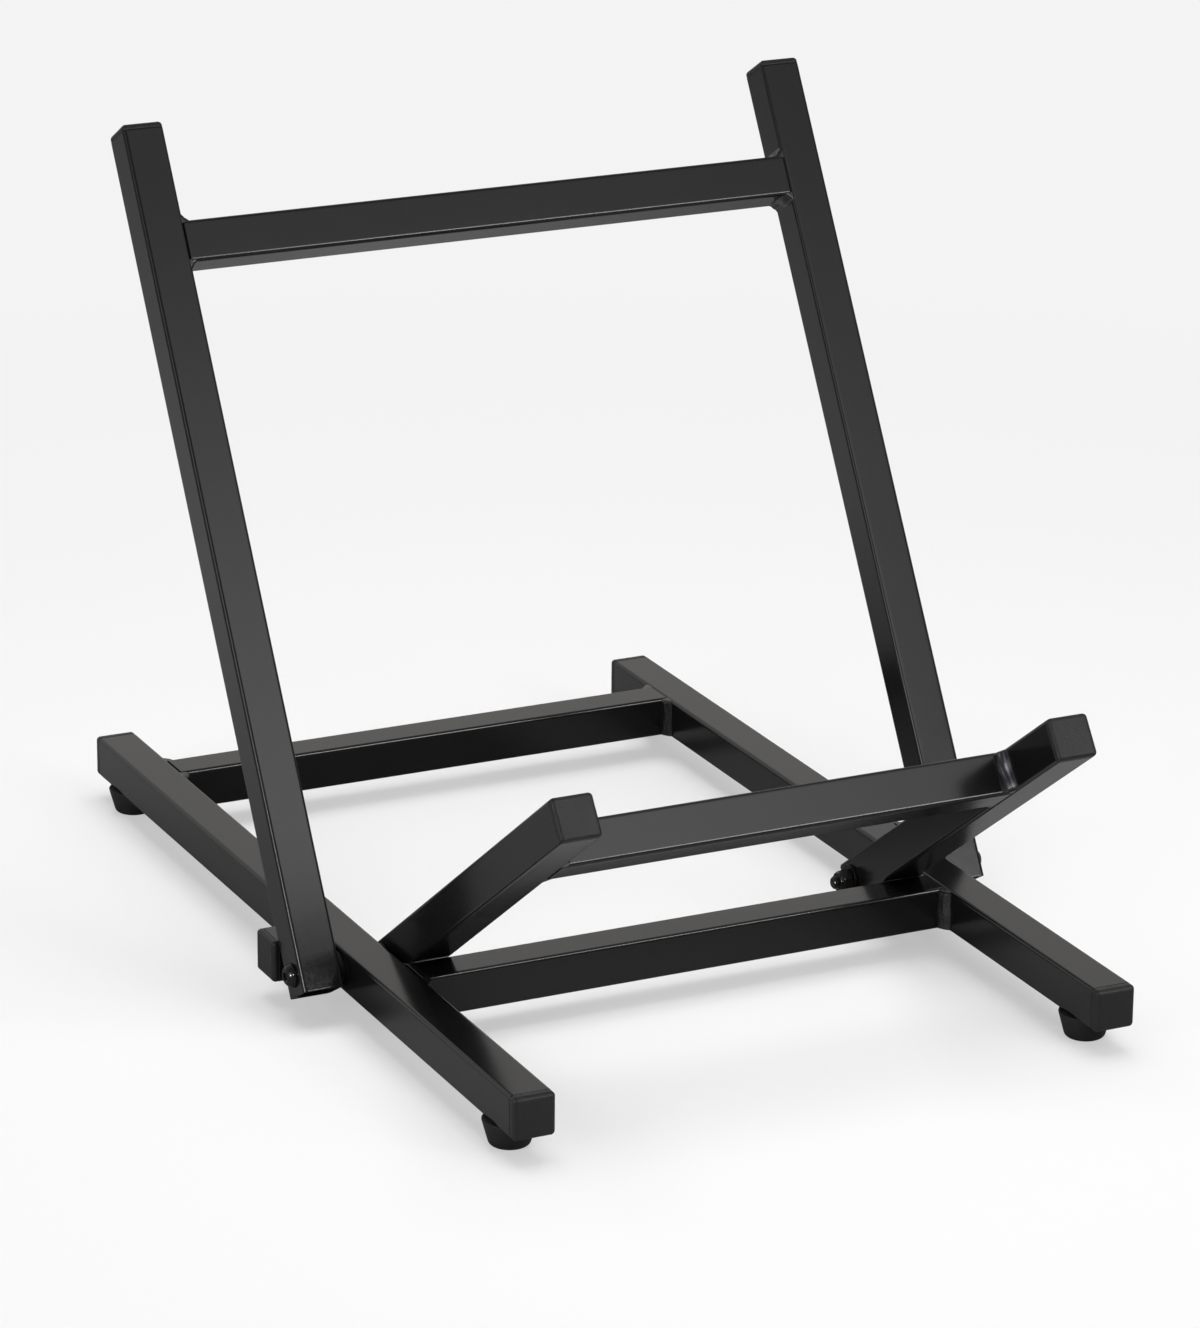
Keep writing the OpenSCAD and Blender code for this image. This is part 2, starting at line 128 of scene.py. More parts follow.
class STAND_PG_plug(bpy.types.PropertyGroup):
    """End plugs."""
    rail_head: length("Rail head", 0.006, "Head thickness of the rail plugs")
    frame_head: length("Frame head", 0.0038, "Head thickness of the other plugs")
    edge: length("Head edge", 0.0025, "Radius of a head's edges")
    depth: length("Depth", 0.015, "Depth of a plug in its tube")
    wall: length("Stem wall", 0.0018, "Wall of the hollow stem")
    rib: length("Rib", 0.0012, "Thickness of a rib")
    reach: length("Rib reach", 0.0011, "Reach of a rib from the stem")
    gap: length("Gap", 0.0001, "Gap between a rib and the tube")
    ribs: bpy.props.IntProperty(name="Ribs", description="Ribs round each plug", default=4, min=1, max=5)


class STAND_PG_foot(bpy.types.PropertyGroup):
    """Rubber feet."""
    top: length("Top radius", 0.0158, "Radius at the rail")
    bottom: length("Bottom radius", 0.0115, "Radius at the floor, before the edge is rounded")
    height: length("Height", RAIL_Z - SIDE / 2, "Height of a foot")
    lower_edge: length("Lower edge", 0.003, "Radius of the lower edge")
    upper_edge: length("Upper edge", 0.0008, "Radius of the upper edge")
    recess: length("Recess radius", 0.0055, "Radius of the recess round the screw head")
    recess_depth: length("Recess depth", 0.006, "Depth of that recess")
    disc: length("Washer radius", 0.0075, "Radius of the pocket for the steel washer")
    disc_thick: length("Washer thickness", 0.0012, "Thickness of that washer")


class STAND_PG_pivot(bpy.types.PropertyGroup):
    """Bolts, nuts, washers and spacers on the pivot line."""
    bolt: length("Bolt radius", 0.004, "Outer radius of the thread")
    pitch: length("Pitch", 0.00125, "Pitch of the thread")
    threaded: length("Threaded length", 0.016, "Length of the bolt's thread")
    head: length("Head radius", 0.0072, "Radius of the button head")
    head_high: length("Head height", 0.0046, "Height of the button head")
    face: length("Face radius", 0.0042, "Radius of the flat face round the socket")
    rim: length("Rim", 0.0006, "Height of the head's straight rim")
    socket: length("Socket", 0.0025, "Half of the socket's width across its flats")
    socket_depth: length("Socket depth", 0.0024, "Depth of the socket")
    nut: length("Nut", 0.0065, "Half of the nut's width across its flats")
    nut_high: length("Nut height", 0.008, "Height of the nut with its crown")
    crown: length("Crown radius", 0.00605, "Outer radius of the nut's crown")
    crown_high: length("Crown height", 0.002, "Height of the crown")
    washer: length("Washer radius", 0.0095, "Radius of the washers")
    washer_thick: length("Washer thickness", 0.0016, "Thickness of the washers")
    spacer: length("Spacer radius", 0.010, "Radius of the nylon spacers")
    spacer_thick: length("Spacer thickness", 0.0032, "Thickness of the nylon spacers")


class STAND_PG_weld(bpy.types.PropertyGroup):
    """Weld beads."""
    leg: length("Leg", 0.005, "Leg of the base's and the shelf's beads along their crossbars")
    reach: length("Reach", 0.0075, "Leg of these beads along the rails and the arms")
    back_leg: length("Backrest leg", 0.005, "Leg of the beads of the backrest")
    inner_leg: length("Small leg", 0.003, "Leg of the beads beside the arms")
    seam: length("Seam width", 0.009, "Width of the seams under the base")
    seam_high: length("Seam height", 0.0012, "Height of those seams")
    short: length("Shortfall", 0.0004, "Gap from a bead's end to the sides of its tubes")
    end: length("End radius", 0.0016, "Radius of a bead's ends")
    bulge: ratio("Bulge", 0.10, "Bulge of a bead's face, as a share of its width")
    back_bulge: ratio("Backrest bulge", -0.06, "The same for the backrest's beads, hollow below zero")
    relief: length("Relief", 0.00012, "Height of the ripples on a bead")


class STAND_PG_finish(bpy.types.PropertyGroup):
    """Colours of the finishes."""
    coat: colour("Coat", (0.0046, 0.0046, 0.0048), "Black powder coat")
    coat_rub: colour("Rubbed coat", (0.0125, 0.0125, 0.0125), "Powder coat where it is rubbed")
    plug: colour("Plug", (0.0065, 0.0065, 0.0068), "Moulded plastic of the end plugs")
    rubber: colour("Rubber", (0.0055, 0.0055, 0.0058), "Rubber of the feet")
    steel: colour("Dark steel", (0.022, 0.022, 0.022), "Blackened steel of the bolts and nuts")
    zinc: colour("Zinc", (0.48, 0.49, 0.50), "Zinc plate of the foot screws")
    nylon: colour("Nylon", (0.009, 0.009, 0.009), "Nylon of the spacers and rings")
    floor: colour("Floor", (0.86, 0.86, 0.86), "Studio floor")
    # Painted light and shade in the floor that the coat reflects: the lit tone in front, a darker painted shadow
    # of the stand between the rails, and the tone behind
    table: colour("Table", (0.38, 0.38, 0.38), "The floor in front of the stand as the coat reflects it")
    under: colour("Table under", (0.24, 0.24, 0.24), "The same between the rails")
    beyond: colour("Table beyond", (0.385, 0.385, 0.385), "The same behind the stand")


class STAND_PG_settings(bpy.types.PropertyGroup):
    """All sizes and colours of the stand."""
    tube: pointer(STAND_PG_tube, "Tube", "Tube sizes")
    plug: pointer(STAND_PG_plug, "Plugs", "End plug sizes")
    foot: pointer(STAND_PG_foot, "Feet", "Foot sizes")
    pivot: pointer(STAND_PG_pivot, "Pivots", "Pivot hardware sizes")
    weld: pointer(STAND_PG_weld, "Welds", "Weld sizes")
    finish: pointer(STAND_PG_finish, "Finish", "Colours")


# ---- surfaces ----

ARC_STEPS = 8          # steps of a tube corner's arc; FLAT is a flat side between two arcs
FLAT = np.array([0, 0.015, 0.15, 0.2667, 0.3833, 0.5, 0.6167, 0.7333, 0.85, 0.985, 1])  # its columns
BLOCK = slice(2, 9)    # the columns of a flat that a bore may cut
ACROSS = (1, 3)        # the flats that the pivot bolts go through
GUARD = 0.0005         # from a tube's rim to the guard row beside it
ROUND = 96             # columns of a turned part
ANGLE = 2 * np.pi * np.arange(ROUND) / ROUND
BEHIND = 0.0004        # how deep a weld's back lies in the metal
MERGE = 2e-6           # points nearer than this become one
THIN = 1e-7            # edges shorter than this are dissolved
RIM_WEAR, PLUG_WEAR, HEAD_WEAR, SHANK_WEAR = 0.8, 0.6, 0.7, 0.2   # how rubbed these are, out of 1
THREAD_DEPTH = 0.613   # of a metric thread, as a share of its pitch


def square_walk():
    """Walk round a square with round corners, as three arrays with a row per column.

    A column's point is core * C + radius * D, where core is half the distance between
    the corner arcs' centres: on an arc C is the corner's sign and D turns through 90
    degrees; on a flat C runs from one corner to the next and D stands still. The third
    array is 1 in the middle of an arc and 0 on the flats.
    """
    signs = np.array([(1, 1), (-1, 1), (-1, -1), (1, -1)], float)
    C, D, edge = [], [], []
    for q in range(4):
        angle = np.radians(90) * (q + np.arange(ARC_STEPS + 1) / ARC_STEPS)
        C.append(np.repeat(signs[q][None], ARC_STEPS + 1, 0))
        D.append(np.stack([np.cos(angle), np.sin(angle)], 1))
        edge.append(np.sin(np.pi * np.arange(ARC_STEPS + 1) / ARC_STEPS))
        share = FLAT[1:-1, None]
        C.append(signs[q] * (1 - share) + signs[(q + 1) % 4] * share)
        D.append(np.repeat(D[-1][-1:], len(share), 0))
        edge.append(np.zeros(len(share)))
    return np.concatenate(C), np.concatenate(D), np.concatenate(edge)


WALK_C, WALK_D, WALK_EDGE = square_walk()
FLAT_COLUMNS = [q * (ARC_STEPS + len(FLAT) - 1) + ARC_STEPS for q in range(4)]  # where each flat starts


def square_rings(profile):
    """Rings of a square bar from rows of (core, radius, z): each ring is the square walk
    at that core and corner radius, at height z."""
    p = np.asarray(profile, float)
    xy = p[:, 0, None, None] * WALK_C + p[:, 1, None, None] * WALK_D
    return np.concatenate([xy, np.broadcast_to(p[:, 2, None, None], xy.shape[:2] + (1,))], 2)


def round_rows(radii):
    """Radii of a turned part, a row of columns for each number or row given."""
    return np.stack([np.broadcast_to(np.asarray(r, float), ROUND) for r in radii])


def turned_rings(radii, heights):
    """Rings of a turned part: radius times (cos, sin) of the column's angle, at the row's
    height. Each radius is one number, or one a column."""
    radii = round_rows(radii)
    z = np.broadcast_to(np.asarray(heights, float)[:, None], radii.shape)
    return np.stack([radii * np.cos(ANGLE), radii * np.sin(ANGLE), z], 2)


def hexagon(apothem):
    """Radius of a hexagon at each column: its apothem over the cosine of the angle from
    the middle of the nearest side."""
    return apothem / np.cos((ANGLE + np.pi / 6) % (np.pi / 3) - np.pi / 6)


def arc(centre, radius, start, end, steps):
    """Points on a circle's arc in the (r, z) plane, from one angle to another in degrees."""
    a = np.radians(np.linspace(start, end, steps + 1))
    return np.stack([centre[0] + radius * np.cos(a), centre[1] + radius * np.sin(a)], 1)


def placed(points, origin, z_way, x_way):
    """Local points carried to a frame whose axes are x_way, z_way cross x_way, and z_way."""
    z = np.asarray(z_way, float) / np.linalg.norm(z_way)
    x = np.asarray(x_way, float) / np.linalg.norm(x_way)
    return points @ np.stack([x, np.cross(z, x), z]) + np.asarray(origin, float)


class Patches:
    """Collects grids of points and joins them into one closed mesh."""

    def __init__(self):
        self.points, self.quads, self.edge, self.count = [], [], [], 0

    def add(self, grid, edge=None, loop=False, mask=None):
        """A grid of rows and columns. Columns always close; rows close too if loop.
        mask leaves quads out. Quads wind so that column step cross row step is outward."""
        rows, columns = grid.shape[:2]
        index = np.arange(rows * columns).reshape(rows, columns) + self.count
        ahead = np.roll(index, -1, 1)
        up, up_ahead = np.roll(index, -1, 0), np.roll(ahead, -1, 0)
        quads = np.stack([index, ahead, up_ahead, up], 2)
        quads = quads if loop else quads[:-1]
        keep = np.ones(quads.shape[:2], bool) if mask is None else mask[:len(quads)]
        self.points.append(grid.reshape(-1, 3))
        self.quads.append(quads[keep])
        self.edge.append(np.zeros(rows * columns) if edge is None else
                         np.broadcast_to(edge, (rows, columns)).reshape(-1))
        self.count += rows * columns
        return self

    def moved(self, origin, z_way, x_way):
        self.points = [placed(p, origin, z_way, x_way) for p in self.points]
        return self

    def and_also(self, other):
        self.quads += [q + self.count for q in other.quads]
        self.points += other.points
        self.edge += other.edge
        self.count += other.count
        return self


def make_piece(name, patches, body, slot, node, sharp=32):
    """Mesh object in place of a CAD node, riding on its body. Doubles are merged, and all
    is smooth but for edges sharper than sharp degrees."""
    mesh = bpy.data.meshes.new(name)
    mesh.from_pydata(np.concatenate(patches.points), [], np.concatenate(patches.quads))
    layer = mesh.attributes.new("edge", "FLOAT", "POINT")
    layer.data.foreach_set("value", np.concatenate(patches.edge).astype(np.float32))
    work = bmesh.new()
    work.from_mesh(mesh)
    bmesh.ops.remove_doubles(work, verts=work.verts, dist=MERGE)
    bmesh.ops.dissolve_degenerate(work, edges=work.edges, dist=THIN)
    work.to_mesh(mesh)
    work.free()
    mesh.validate()
    mesh.shade_smooth()
    mesh.set_sharp_from_angle(angle=math.radians(sharp))
    mesh.materials.append(finish(slot))
    piece = bpy.data.objects.new(name, mesh)
    bpy.context.scene.collection.objects.link(piece)
    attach(piece, body)
    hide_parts(node)


def make_tube(node, patches, body):
    make_piece(node + "_tube", patches, body, "black_coat", node)


def make_frame(sides, tail, reach, bar, bar_at, ways, body):
    """Tubes of a frame that turns: two sides along ways[0] from below the pivot, with a
    bore there, and a crossbar at bar_at between them."""
    along, out = ways
    for node in sides:
        tube = tube_patches(-tail, reach, [(flat, 0.0, settings().tube.bore) for flat in ACROSS])
        make_tube(node, tube.moved(pivot_at(middle(node)[0]), along, X), body)
    low, high = corners(bar)
    make_tube(bar, tube_patches(low[0], high[0]).moved(pivot_at(0) + along * bar_at, X, out), body)


def fraction_rows(core, at):
    """Heights of the rows through a bore's block, the same steps as across the flat."""
    return at + core * (2 * FLAT[BLOCK] - 1)


def tube_patches(start, end, bores=()):
    """Square tube from z = start to z = end with rounded cut ends.

    One closed grid: its rows go up the outside, over the end's rim, down the inside and
    over the other rim. A guard row beside each rim keeps the long faces' normals straight.
    bores are (flat number, z, radius). There the grid is left open, and a plate closes it:
    from the block's border in to the bore's circle, through the wall, and out to the
    border inside."""
    s = settings().tube
    core, wall, e = s.side / 2 - s.corner, s.wall, s.cut_edge
    blocks = sorted(z for at in {b[1] for b in bores} for z in fraction_rows(core, at))
    heights = np.array([start + e, start + e + GUARD, *blocks, end - e - GUARD, end - e])
    quarter = np.radians([0, 22.5, 45, 67.5, 90])
    top = [(e * (1 - math.cos(a)), end - e + e * math.sin(a)) for a in quarter[1:]]
    top += [(wall - e + e * math.sin(a), end - e + e * math.cos(a)) for a in quarter[:-1]]
    foot = [(inset, start + end - z) for inset, z in top[::-1]]
    rows = [(0.0, z) for z in heights] + top + [(wall, z) for z in heights[::-1]] + foot
    grid = square_rings([(core, s.corner - inset, z) for inset, z in rows])
    long, short = len(heights), len(top)
    rim = np.repeat([0.0, RIM_WEAR, 0.0, RIM_WEAR], [long, short, long, short])[:, None]
    outer = np.array(rows)[:, :1] < wall / 2
    mask = np.ones(grid.shape[:2], bool)
    patches, steps = Patches(), len(FLAT[BLOCK]) - 1
    for flat, at, radius in bores:
        column = FLAT_COLUMNS[flat] + BLOCK.start
        row = int(np.argmin(np.abs(heights - fraction_rows(core, at)[0])))
        for first in (row, 2 * long + short - 1 - (row + steps)):
            mask[first:first + steps, column:column + steps] = False
        patches.add(plate_rings(core, s.corner, wall, flat, at, radius))
    return patches.add(grid, np.maximum(rim, WALK_EDGE * outer), loop=True, mask=mask)


def plate_rings(core, corner, wall, flat, at, radius):
    """The wall round a bore: square border, circle, circle inside, border inside."""
    f = core * (2 * FLAT[BLOCK] - 1)
    n = len(f) - 1
    side, quarter_turn = np.stack([f[:-1], np.full(n, f[0])], 1), np.array([[0, 1], [-1, 0]])
    border = np.concatenate([side @ np.linalg.matrix_power(quarter_turn, k) for k in range(4)])
    angle = np.radians(-135 + 360 * np.arange(4 * n) / (4 * n))
    circle = radius * np.stack([np.cos(angle), np.sin(angle)], 1)
    outward = WALK_D[FLAT_COLUMNS[flat]]
    across = np.array([-outward[1], outward[0]])
    rings = []
    for outline, inset in ((border, 0), (circle, 0), (circle, wall), (border, wall)):
        xy = (core + corner - inset) * outward + outline[:, :1] * across
        rings.append(np.column_stack([xy, at + outline[:, 1]]))
    return np.stack(rings)


def plug_patches(head):
    """End plug along z, its head on z = 0: one grid from the middle of the face, over the
    rounded edge, under the head, down the ribbed stem and up its hollow to a pole."""
    s, t = settings().plug, settings().tube
    edge, low_edge, rib_edge, soft = s.edge, 0.0005, 0.0008, 0.0002
    core = t.side / 2 - edge
    rib_half = t.side / 2 - t.wall - s.gap
    stem_half = rib_half - s.reach
    rib, stem, hollow = rib_half - rib_edge, stem_half - rib_edge, stem_half - s.wall
    rows = [(0.0, 0.0, head), (0.5 * core, 0.0, head), (core - 0.0004, 0.0, head)]
    rows += [(core, r, z) for r, z in arc((0, head - edge), edge, 90, 0, 6)]
    rows += [(core, r, z) for r, z in arc((edge - low_edge, low_edge), low_edge, 0, -90, 3)]
    for high in -(s.depth - s.rib) / s.ribs * np.arange(s.ribs):
        rows += [(stem, rib_edge, high), (rib, rib_edge, high - soft),
                 (rib, rib_edge, high - s.rib + soft), (stem, rib_edge, high - s.rib)]
    rows += [(stem, rib_edge, -s.depth), (hollow, 0.0, -s.depth), (hollow, 0.0, -0.0004), (0.0, 0.0, -0.0004)]
    z = np.array(rows)[::-1, 2:]
    rounded = PLUG_WEAR * ((head - edge * 0.9 < z) & (z < head - 1e-6))
    return Patches().add(square_rings(rows[::-1]), np.maximum((z > low_edge) * WALK_EDGE, rounded))


def loop_patches(outline):
    """Turned part with a hole: its closed (r, z) outline, up the outside and down the
    hole, carried round the z axis."""
    return Patches().add(turned_rings(*np.asarray(outline, float).T), loop=True)


def ring_outline(hole, radius, thick, edge):
    """Outline of a washer or spacer on z = 0: a rectangle with rounded outer edges."""
    low = arc((radius - edge, edge), edge, -90, 0, 4)
    high = arc((radius - edge, thick - edge), edge, 0, 90, 4)
    small = edge * 0.5
    top = arc((hole + small, thick - small), small, 90, 180, 3)
    bottom = arc((hole + small, small), small, 180, 270, 3)
    return np.concatenate([low, high, top, bottom])


def foot_outline():
    """Outline of a foot: rounded lower edge, taper, small upper edge, then down the
    screw's bore, round the washer's pocket and out of the recess."""
    s = settings().foot
    slope = math.atan((s.top - s.bottom) / s.height)
    low = s.lower_edge / math.tan((math.pi / 2 + slope) / 2)
    high = s.upper_edge / math.tan((math.pi / 2 - slope) / 2)
    tilt = math.degrees(slope)
    bottom = arc((s.bottom - low, s.lower_edge), s.lower_edge, -90, -tilt, 8)
    top = arc((s.top - high, s.height - s.upper_edge), s.upper_edge, -tilt, 90, 6)
    bore = settings().tube.screw_bore
    over = s.recess_depth + s.disc_thick
    soft = 0.0004
    inside = [(bore, s.height), (bore, over), (s.disc, over), (s.disc, s.recess_depth),
              (s.recess, s.recess_depth), (s.recess, soft), (s.recess + soft, 0.0)]
    return np.concatenate([bottom, top, inside])


def bolt_patches(seat_to_tip):
    """Button-head bolt along z, its head bearing on z = 0 and reaching below it.

    The radius is a function of angle and height: a hexagon in the socket, circles over
    the dome and shank, and on the thread the outer radius less a sloped tooth whose
    phase is height over pitch less one turn's share of the angle."""
    s = settings().pivot
    face_z, socket_z = -s.head_high, -s.head_high + s.socket_depth
    neck, swell = 0.985, 0.015   # shares of the bolt's radius: the shank, and from it to the thread
    socket, shank, chamfer, soft = hexagon(s.socket), s.bolt * neck, 0.0003, 0.00035
    centre = (s.face ** 2 + s.head_high ** 2 - s.head ** 2 - s.rim ** 2) / (2 * (s.head_high - s.rim))
    ball = math.hypot(s.head, s.rim - centre)
    up = np.linspace(s.head_high, s.rim, 15)
    dome = np.sqrt(ball ** 2 - (up - centre) ** 2)
    rows = [(0, socket_z + 0.0008), (socket * 0.97, socket_z), (socket, socket_z - 0.0001),
            (socket, face_z + chamfer), (s.socket / math.cos(math.pi / 6) + chamfer, face_z),
            (s.face - soft, face_z)]
    rows += [(r, -h) for r, h in zip(dome, up) if h < s.head_high - 0.3 * soft]
    rows += [(s.head, -0.0002), (s.head - 0.0002, 0.0), (s.bolt + 0.0004, 0.0), (shank, 0.0004)]
    start = seat_to_tip - s.threaded
    z = np.linspace(start, seat_to_tip, int(round(s.threaded / s.pitch * 12)) + 1)[:, None]
    phase = (z / s.pitch - ANGLE / (2 * np.pi)) % 1.0
    cut = np.clip(1.25 - 2.5 * np.abs(phase - 0.5), 0, 1)
    runout = np.clip((z - start) / (1.5 * s.pitch), 0, 1)
    radius = s.bolt * (neck + swell * runout) - THREAD_DEPTH * s.pitch * cut * runout
    radius = np.minimum(radius, s.bolt - 0.001 + (seat_to_tip - z))
    rows += [(shank, start - 0.0003), *zip(radius, z[:, 0]), (0, seat_to_tip)]
    worn = np.array([HEAD_WEAR if face_z - 1e-9 <= h <= -s.rim else SHANK_WEAR for _, h in rows])
    return Patches().add(turned_rings(*zip(*rows)), worn[:, None])


def nut_patches():
    """Lock nut on z = 0: the radius is the lesser of a hexagon's and of the chamfer
    cones' at each height; then a round crown, rolled in over the nylon ring."""
    s, hole = settings().pivot, settings().tube.bore
    high, full, narrow = s.nut_high - s.crown_high, s.nut_high, s.nut * 0.97
    hexa, steep = hexagon(s.nut), math.tan(math.radians(60))
    chamfer = (s.nut / math.cos(math.pi / 6) - narrow) / steep
    fillet, shoulder, soft, lip, pocket = 0.0004, 0.0011, 0.0002, hole + 0.0003, s.crown - 0.0007
    rows = [(hole, 0.0005), (hole + 0.0005, 0.0)]
    rows += [(np.minimum(hexa, narrow + z * steep), z) for z in np.linspace(0, chamfer, 7)]
    rows += [(np.minimum(hexa, narrow + (high - z) * steep), z) for z in np.linspace(high - chamfer, high, 7)]
    rows += [(s.crown + fillet, high), *arc((s.crown + fillet, high + fillet), fillet, 270, 180, 4),
             *arc((s.crown - shoulder, full - shoulder), shoulder, 0, 90, 7),
             *arc((lip + soft, full - soft), soft, 90, 180, 3),
             (lip, full - 0.0006), (pocket, full - 0.0006), (pocket, high - 0.0005), (hole, high - 0.0005)]
    radii, heights = zip(*rows)
    worn = np.clip((round_rows(radii) / s.nut - 1) * 6, 0, 1)
    return Patches().add(turned_rings(radii, heights), worn, loop=True)


def smooth_noise(u, seed):
    """Even, repeatable unevenness along u: a sum of sines with phases from the seed."""
    rng = np.random.default_rng(seed)
    total = 0
    for k in (1.3, 2.7, 4.1, 6.3, 9.7):
        total = total + np.sin(2 * np.pi * (k * u + rng.random())) / (1 + 0.5 * k)
    return total


def capped(x, y, z):
    """Grid of sections with a row of each, closed at both ends in the section's middle."""
    grid = np.stack(np.broadcast_arrays(x, y, z), 2)
    start, end = (np.broadcast_to(grid[i].mean(0), (1,) + grid[0].shape) for i in (0, -1))
    return Patches().add(np.concatenate([start, grid, end]))


def bead_patches(a, b, share, seed):
    """Weld in the corner between a tube along X below y = 0 and one along Y below x = 0.

    At each place along it the face is an arc from (a, 0) to (0, b), whose bulge is a
    share of its width; a share below zero makes it hollow. The section shrinks towards
    both ends and sinks behind the tubes' round corners there. Chevron ripples lie on the
    face: a cosine of the place along the bead less a lag that grows to both edges. Long
    streaks, sines of the place across that wander slowly along the bead, are added."""
    s, t = settings().weld, settings().tube
    half = t.side / 2 - s.short
    U, V = np.meshgrid(np.linspace(-1, 1, 97), np.linspace(0, 1, 25), indexing="ij")
    z = half * np.sin(U * np.pi / 2)
    along = (z / half + 1) / 2
    over = np.clip(np.abs(z) - (t.side / 2 - t.corner), 0, t.corner * 0.98)
    sink = t.corner - np.sqrt(t.corner ** 2 - over ** 2)
    near_end = np.clip((half - np.abs(z)) / s.end, 0, 1)
    shrink = 0.45 + 0.55 * np.sqrt(1 - (1 - near_end) ** 2)
    width = math.hypot(a, b)
    lag = 0.55 * np.abs(2 * V - 1) ** 1.2
    ripple = np.cos(2 * np.pi * 1.6 * (along - lag) + seed)
    wave = 0.12 * np.sin(2 * np.pi * (0.9 * along + 0.37 * seed))
    streak = np.sin(2 * np.pi * (1.7 * (V + wave) + 0.23 * seed)) + 0.4 * smooth_noise(0.5 * along + V, seed)
    push = s.relief * (0.35 * ripple + streak) * np.sin(np.pi * V) ** 0.5
    bulge = share * width * 4 * V * (1 - V) + push
    wander = 1 + 0.10 * smooth_noise(along * 0.22, seed + 2)
    x = (a * (1 - V) * wander + bulge * b / width) * shrink - sink * V
    y = (b * V * wander + bulge * a / width) * shrink - sink * (1 - V)
    x[:, -1], y[:, 0] = -sink[:, -1], -sink[:, 0]
    behind = -sink[:, :1] - BEHIND
    return capped(np.concatenate([x, behind, behind, x[:, :1]], 1),
                  np.concatenate([y, y[:, -1:], behind, behind], 1), z[:, :1])


def seam_patches(width, high, run, seed):
    """Low seam on z = 0 along y: a lens across, with a rounded outline and slight lumps,
    closed a little above z = 0, inside the metal."""
    u = np.linspace(0, 1, 41)
    U, V = np.meshgrid(u, np.linspace(0, 1, 17), indexing="ij")
    ends = np.sqrt(np.clip(1 - (2 * u - 1) ** 4, 0, 1))[:, None]
    side = (2 * V - 1) * width / 2 * (0.25 + 0.75 * ends) * (1 + 0.06 * smooth_noise(U, seed))
    ripple = 1 + 0.14 * np.cos(2 * np.pi * 4 * (U + 0.08 * (2 * V - 1) ** 2) + seed)
    depth = -high * (1 - (2 * V - 1) ** 2) * ends * ripple * 0.86
    x = np.concatenate([side, side[:, -1:], side[:, :1]], 1)
    z = np.concatenate([depth, np.full((len(u), 2), BEHIND)], 1)
    return capped(x, (U[:, :1] - 0.5) * run, z)


# ---- directions of the three frames ----

X, Y, Z = np.eye(3)


def lean_ways():
    """Along an upright, and out of its rear face."""
    a = settings().tube.lean
    return np.array([0, math.sin(a), math.cos(a)]), np.array([0, math.cos(a), -math.sin(a)])


def rise_ways():
    """Along an arm, and out of its upper face."""
    a = settings().tube.rise
    return np.array([0, -math.cos(a), math.sin(a)]), np.array([0, math.sin(a), math.cos(a)])


def pivot_at(x):
    """Place on the pivot line."""
    return np.array([x, PIVOT[1], PIVOT[2]])


def settings():
    return bpy.context.scene.tube_stand


# ---- materials ----

def feed(tree, socket, value):
    """Link another node's output to a socket, or give the socket a plain value."""
    if isinstance(value, bpy.types.NodeSocket):
        tree.links.new(value, socket)
    else:
        socket.default_value = value


def add(tree, kind, **values):
    """New node with its properties and inputs set. Underscores stand for spaces."""
    node = tree.nodes.new(kind)
    for key, value in values.items():
        name = key.replace("_", " ")
        if name in node.inputs:
            feed(tree, node.inputs[name], value)
        else:
            setattr(node, key, value)
    return node


def noise(tree, where, scale, detail=2.0, rough=0.5):
    node = add(tree, "ShaderNodeTexNoise", Vector=where, Scale=scale, Detail=detail, Roughness=rough)
    return node.outputs["Fac"]


def remap(tree, value, low, high, to_low, to_high):
    """Value mapped from one range to another and held inside it."""
    node = add(tree, "ShaderNodeMapRange", Value=value, From_Min=low, From_Max=high, To_Min=to_low, To_Max=to_high)
    return node.outputs["Result"]


def maths(tree, operation, a, b):
    node = add(tree, "ShaderNodeMath", operation=operation)
    feed(tree, node.inputs[0], a)
    feed(tree, node.inputs[1], b)
    return node.outputs[0]


def blend_colours(tree, share, a, b):
    """Mix of two colours, each a node's output or three numbers."""
    node = add(tree, "ShaderNodeMix", data_type="RGBA", Factor=share)
    for socket, v in ((node.inputs[6], a), (node.inputs[7], b)):
        feed(tree, socket, v if isinstance(v, bpy.types.NodeSocket) else (*v, 1.0))
    return node.outputs[2]


def split_xyz(tree, vector):
    return add(tree, "ShaderNodeSeparateXYZ", Vector=vector).outputs


def effect(tree, name, build, **values):
    """Value of a shared node group, made on its first use: build gets the group, Object
    coordinates and the group's inputs, and returns what the group gives out."""
    group = bpy.data.node_groups.get(name)
    if group is None:
        group = bpy.data.node_groups.new(name, "ShaderNodeTree")
        for label in values:
            group.interface.new_socket(label.replace("_", " "), in_out="INPUT", socket_type="NodeSocketFloat")
        group.interface.new_socket("Value", in_out="OUTPUT", socket_type="NodeSocketFloat")
        inside, outside = group.nodes.new("NodeGroupInput"), group.nodes.new("NodeGroupOutput")
        where = group.nodes.new("ShaderNodeTexCoord").outputs["Object"]
        feed(group, outside.inputs[0], build(group, where, inside.outputs))
    return add(tree, "ShaderNodeGroup", node_tree=group, **values).outputs[0]


def grain(tree, where, given):
    """Surface grain: a fine and a coarser noise added together, as a height."""
    fine = noise(tree, where, given["Fine"], 3.0, 0.6)
    coarse = noise(tree, where, given["Coarse"])
    return maths(tree, "ADD", fine, maths(tree, "MULTIPLY", coarse, given["Coarse share"]))


def mottle(tree, where, given):
    """Slow change over the surface, from 0 to 1, for shade and gloss."""
    return remap(tree, noise(tree, where, given["Scale"], 4.0, 0.62), 0.25, 0.75, 0.0, 1.0)


